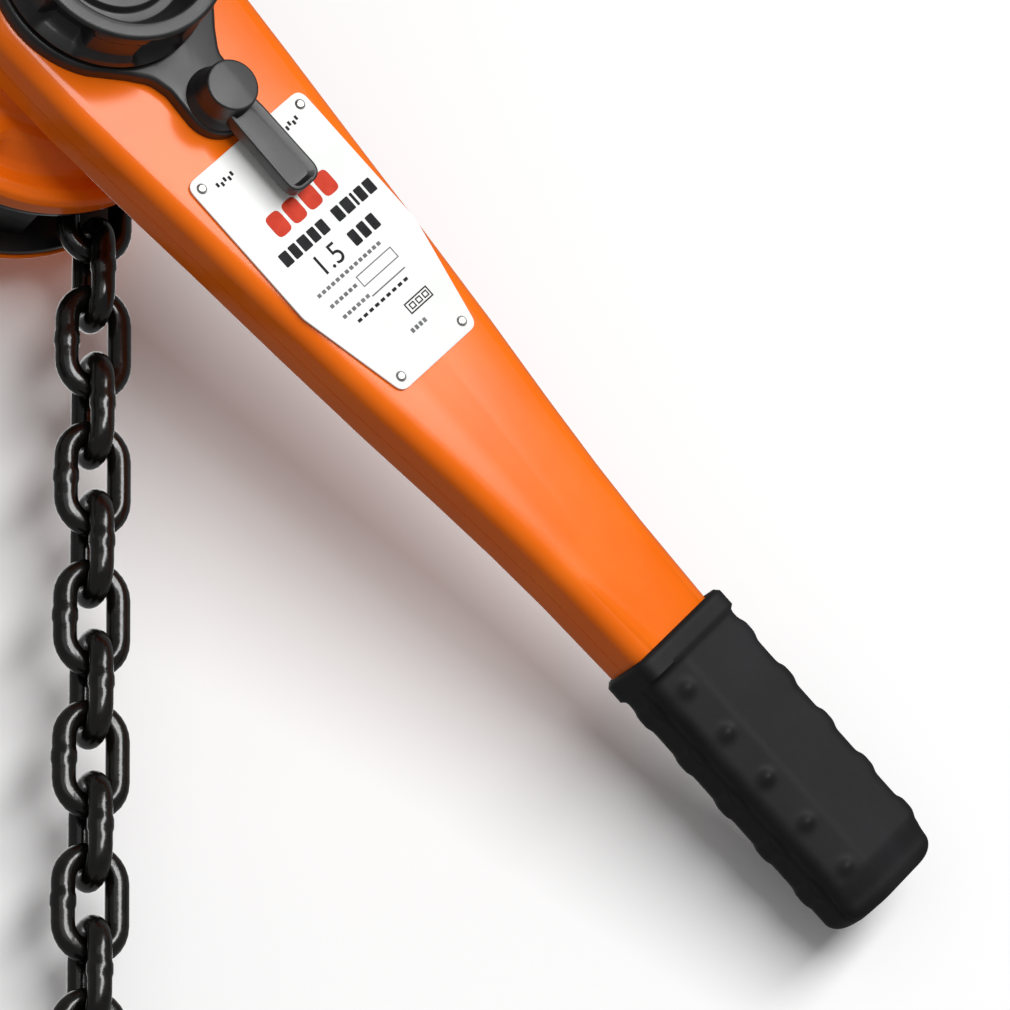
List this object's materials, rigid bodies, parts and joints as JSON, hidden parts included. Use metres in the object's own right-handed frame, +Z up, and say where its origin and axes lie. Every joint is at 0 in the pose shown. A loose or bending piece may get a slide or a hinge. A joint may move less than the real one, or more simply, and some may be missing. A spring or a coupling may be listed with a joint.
{
  "type": "lever chain hoist",
  "caption": "Lever-operated chain hoist with a top hook, a load chain to a bottom hook, a handwheel and a pressed-steel operating lever with a rubber grip.",
  "frame": {"origin": "load-bearing point inside the bowl of the top hook", "axes": "+Z up along the load line, -Y towards the handwheel and lever side, +X towards the lever"},
  "size_m": [0.3549, 0.1473, 0.6688],
  "materials": {
    "bottom_hook": "gloss orange",
    "bottom_latch": "machined",
    "bottom_yoke": "satin black",
    "brake_cover": "gloss orange",
    "brake_hub": "machined",
    "brake_pawl_1": "machined",
    "brake_pawl_2": "machined",
    "castle_nut": "machined",
    "chain_pin": "machined",
    "chain_stripper": "as cast",
    "change_gear": "machined",
    "changeover_pawl": "machined",
    "disc_gear_1": "machined",
    "disc_gear_2": "machined",
    "friction_disc_inner": "brake lining",
    "friction_disc_outer": "brake lining",
    "front_side_plate": "satin black",
    "gear_cover": "gloss orange",
    "gear_cover_nut_1": "machined",
    "gear_cover_nut_2": "machined",
    "gear_cover_nut_3": "machined",
    "guide_roller_1": "machined",
    "guide_roller_2": "machined",
    "handwheel": "satin black",
    "lever_front_shell": "gloss orange",
    "lever_grip": "moulded",
    "lever_rear_shell": "gloss orange",
    "load_chain_head": "black lacquer",
    "load_gear": "machined",
    "load_link_04": "black lacquer",
    "load_link_05": "black lacquer",
    "load_link_06": "black lacquer",
    "load_link_07": "black lacquer",
    "load_link_08": "black lacquer",
    "load_link_09": "black lacquer",
    "load_link_10": "black lacquer",
    "load_link_11": "black lacquer",
    "load_link_12": "black lacquer",
    "load_link_13": "black lacquer",
    "load_link_14": "black lacquer",
    "load_sheave": "as cast",
    "name_plate": "printed white",
    "pinion_shaft": "machined",
    "ratchet_wheel": "machined",
    "rear_side_plate": "satin black",
    "selector_housing": "satin black",
    "selector_knob": "satin black",
    "sheave_bearing_front": "machined",
    "sheave_bearing_rear": "machined",
    "sheave_chain": "black lacquer",
    "stay_bolt_1": "machined",
    "stay_bolt_2": "machined",
    "stay_bolt_3": "machined",
    "tail_chain": "black lacquer",
    "tail_ring": "machined",
    "top_hook": "gloss orange",
    "top_latch": "machined",
    "top_pin": "machined",
    "top_yoke": "satin black"
  },
  "bodies": {
    "top_hook": {"top_hook": "top_hook"},
    "top_latch": {"top_latch": "top_latch"},
    "top_yoke": {"top_yoke": "top_yoke"},
    "frame": {"front_side_plate": "front_side_plate", "rear_side_plate": "rear_side_plate", "stay_bolt_1": "stay_bolt_1", "stay_bolt_2": "stay_bolt_2", "stay_bolt_3": "stay_bolt_3", "gear_cover": "gear_cover", "gear_cover_nut_1": "gear_cover_nut_1", "gear_cover_nut_2": "gear_cover_nut_2", "gear_cover_nut_3": "gear_cover_nut_3", "brake_cover": "brake_cover", "chain_stripper": "chain_stripper", "sheave_bearing_front": "sheave_bearing_front", "sheave_bearing_rear": "sheave_bearing_rear", "top_pin": "top_pin"},
    "lever": {"lever_front_shell": "lever_front_shell", "lever_rear_shell": "lever_rear_shell", "lever_grip": "lever_grip", "name_plate": "name_plate", "selector_housing": "selector_housing"},
    "selector": {"selector_knob": "selector_knob", "changeover_pawl": "changeover_pawl"},
    "drive_shaft": {"pinion_shaft": "pinion_shaft", "brake_hub": "brake_hub", "friction_disc_inner": "friction_disc_inner", "friction_disc_outer": "friction_disc_outer", "change_gear": "change_gear", "handwheel": "handwheel", "castle_nut": "castle_nut"},
    "sheave": {"load_sheave": "load_sheave", "load_gear": "load_gear", "sheave_chain": "sheave_chain"},
    "disc_gear_1": {"disc_gear_1": "disc_gear_1"},
    "disc_gear_2": {"disc_gear_2": "disc_gear_2"},
    "ratchet": {"ratchet_wheel": "ratchet_wheel"},
    "brake_pawl_1": {"brake_pawl_1": "brake_pawl_1"},
    "brake_pawl_2": {"brake_pawl_2": "brake_pawl_2"},
    "guide_roller_1": {"guide_roller_1": "guide_roller_1"},
    "guide_roller_2": {"guide_roller_2": "guide_roller_2"},
    "load_strand": {"load_chain_head": "load_chain_head"},
    "tail_strand": {"tail_chain": "tail_chain"},
    "tail_ring": {"tail_ring": "tail_ring"},
    "load_link_04": {"load_link_04": "load_link_04"},
    "load_link_05": {"load_link_05": "load_link_05"},
    "load_link_06": {"load_link_06": "load_link_06"},
    "load_link_07": {"load_link_07": "load_link_07"},
    "load_link_08": {"load_link_08": "load_link_08"},
    "load_link_09": {"load_link_09": "load_link_09"},
    "load_link_10": {"load_link_10": "load_link_10"},
    "load_link_11": {"load_link_11": "load_link_11"},
    "load_link_12": {"load_link_12": "load_link_12"},
    "load_link_13": {"load_link_13": "load_link_13"},
    "load_link_14": {"load_link_14": "load_link_14"},
    "bottom_yoke": {"bottom_yoke": "bottom_yoke", "chain_pin": "chain_pin"},
    "bottom_hook": {"bottom_hook": "bottom_hook"},
    "bottom_latch": {"bottom_latch": "bottom_latch"}
  },
  "joints": [
    {"name": "lever_swing", "type": "hinge", "parent": "frame", "child": "lever", "pos_m": [-0.02897, 0, -0.171], "axis": [0, 1, 0], "continuous": true},
    {"name": "selector_turn", "type": "hinge", "parent": "lever", "child": "selector", "pos_m": [0.01189, -0.086, -0.21074], "axis": [0, 1, 0], "range_deg": [-22, 22]},
    {"name": "sheave_turn", "type": "hinge", "parent": "frame", "child": "sheave", "pos_m": [-0.02897, 0, -0.171], "axis": [0, 1, 0], "range_deg": [-6.5, 6.5]},
    {"name": "handwheel_turn", "type": "hinge", "parent": "frame", "child": "drive_shaft", "pos_m": [-0.02897, 0, -0.171], "axis": [0, 1, 0], "range_deg": [-50.7, 50.7]},
    {"name": "top_pin_swing", "type": "hinge", "parent": "top_yoke", "child": "frame", "pos_m": [0, 0, -0.103], "axis": [0, 1, 0], "range_deg": [-25, 25]},
    {"name": "top_hook_swivel", "type": "hinge", "parent": "top_hook", "child": "top_yoke", "pos_m": [0, 0, -0.078], "axis": [0, 0, 1], "continuous": true},
    {"name": "top_latch_turn", "type": "hinge", "parent": "top_hook", "child": "top_latch", "pos_m": [0.0125, 0, -0.057], "axis": [0, 1, 0], "range_deg": [-34, 0], "stiffness_Nm_per_rad": 0.05, "springref_deg": 22.92},
    {"name": "bottom_hook_swivel", "type": "hinge", "parent": "bottom_yoke", "child": "bottom_hook", "pos_m": [0, 0, -0.55285], "axis": [0, 0, 1], "continuous": true},
    {"name": "bottom_latch_turn", "type": "hinge", "parent": "bottom_hook", "child": "bottom_latch", "pos_m": [0.0125, 0, -0.56885], "axis": [0, 1, 0], "range_deg": [0, 34], "stiffness_Nm_per_rad": 0.05, "springref_deg": -22.92},
    {"name": "bottom_yoke_swing", "type": "hinge", "parent": "load_link_14", "child": "bottom_yoke", "pos_m": [0, 0, -0.51485], "axis": [0, 1, 0], "range_deg": [-30, 30]},
    {"name": "load_strand_run", "type": "slide", "parent": "frame", "child": "load_strand", "axis": [0.3827, 0, 0.9239], "range_m": [-0.00356, 0.00356]},
    {"name": "tail_strand_run", "type": "slide", "parent": "frame", "child": "tail_strand", "axis": [0.3827, 0, -0.9239], "range_m": [-0.00356, 0.00356]},
    {"name": "disc_gear_1_turn", "type": "hinge", "parent": "frame", "child": "disc_gear_1", "pos_m": [-0.00197, 0, -0.171], "axis": [0, 1, 0], "range_deg": [-16.9, 16.9]},
    {"name": "disc_gear_2_turn", "type": "hinge", "parent": "frame", "child": "disc_gear_2", "pos_m": [-0.05597, 0, -0.171], "axis": [0, 1, 0], "range_deg": [-16.9, 16.9]},
    {"name": "ratchet_play", "type": "hinge", "parent": "frame", "child": "ratchet", "pos_m": [-0.02897, 0, -0.171], "axis": [0, 1, 0], "range_deg": [-1, 3]},
    {"name": "brake_pawl_1_lift", "type": "hinge", "parent": "frame", "child": "brake_pawl_1", "pos_m": [-0.03626, 0, -0.12964], "axis": [0, 1, 0], "range_deg": [-12, 0], "stiffness_Nm_per_rad": 0.02, "springref_deg": 28.65},
    {"name": "brake_pawl_2_lift", "type": "hinge", "parent": "frame", "child": "brake_pawl_2", "pos_m": [-0.02168, 0, -0.21236], "axis": [0, 1, 0], "range_deg": [-12, 0], "stiffness_Nm_per_rad": 0.02, "springref_deg": 28.65},
    {"name": "tail_ring_swing", "type": "hinge", "parent": "tail_strand", "child": "tail_ring", "pos_m": [-0.05794, 0, -0.30715], "axis": [0, 1, 0], "range_deg": [-40, 40]},
    {"name": "load_link_04_swing", "type": "hinge", "parent": "load_strand", "child": "load_link_04", "pos_m": [0, 0, -0.25915], "axis": [0, 1, 0], "range_deg": [-20, 20]},
    {"name": "load_link_05_swing", "type": "hinge", "parent": "load_link_04", "child": "load_link_05", "pos_m": [0, 0, -0.28315], "axis": [1, 0, 0], "range_deg": [-20, 20]},
    {"name": "load_link_06_swing", "type": "hinge", "parent": "load_link_05", "child": "load_link_06", "pos_m": [0, 0, -0.30715], "axis": [0, 1, 0], "range_deg": [-20, 20]},
    {"name": "load_link_07_swing", "type": "hinge", "parent": "load_link_06", "child": "load_link_07", "pos_m": [0, 0, -0.33115], "axis": [1, 0, 0], "range_deg": [-20, 20]},
    {"name": "load_link_08_swing", "type": "hinge", "parent": "load_link_07", "child": "load_link_08", "pos_m": [0, 0, -0.35515], "axis": [0, 1, 0], "range_deg": [-20, 20]},
    {"name": "load_link_09_swing", "type": "hinge", "parent": "load_link_08", "child": "load_link_09", "pos_m": [0, 0, -0.37915], "axis": [1, 0, 0], "range_deg": [-20, 20]},
    {"name": "load_link_10_swing", "type": "hinge", "parent": "load_link_09", "child": "load_link_10", "pos_m": [0, 0, -0.40315], "axis": [0, 1, 0], "range_deg": [-20, 20]},
    {"name": "load_link_11_swing", "type": "hinge", "parent": "load_link_10", "child": "load_link_11", "pos_m": [0, 0, -0.42715], "axis": [1, 0, 0], "range_deg": [-20, 20]},
    {"name": "load_link_12_swing", "type": "hinge", "parent": "load_link_11", "child": "load_link_12", "pos_m": [0, 0, -0.45115], "axis": [0, 1, 0], "range_deg": [-20, 20]},
    {"name": "load_link_13_swing", "type": "hinge", "parent": "load_link_12", "child": "load_link_13", "pos_m": [0, 0, -0.47515], "axis": [1, 0, 0], "range_deg": [-20, 20]},
    {"name": "load_link_14_swing", "type": "hinge", "parent": "load_link_13", "child": "load_link_14", "pos_m": [0, 0, -0.49915], "axis": [0, 1, 0], "range_deg": [-20, 20]},
    {"name": "guide_roller_1_turn", "type": "hinge", "parent": "frame", "child": "guide_roller_1", "pos_m": [0.02023, 0, -0.18], "axis": [0, 1, 0], "continuous": true},
    {"name": "guide_roller_2_turn", "type": "hinge", "parent": "frame", "child": "guide_roller_2", "pos_m": [-0.07817, 0, -0.18], "axis": [0, 1, 0], "continuous": true}
  ],
  "couplings": [
    {"joint": "handwheel_turn", "follows": "sheave_turn", "ratio": 7.8},
    {"joint": "disc_gear_1_turn", "follows": "sheave_turn", "ratio": -2.6},
    {"joint": "disc_gear_2_turn", "follows": "sheave_turn", "ratio": -2.6},
    {"joint": "load_strand_run", "follows": "sheave_turn", "m_per_rad": -0.031358},
    {"joint": "tail_strand_run", "follows": "sheave_turn", "m_per_rad": -0.031358}
  ]
}
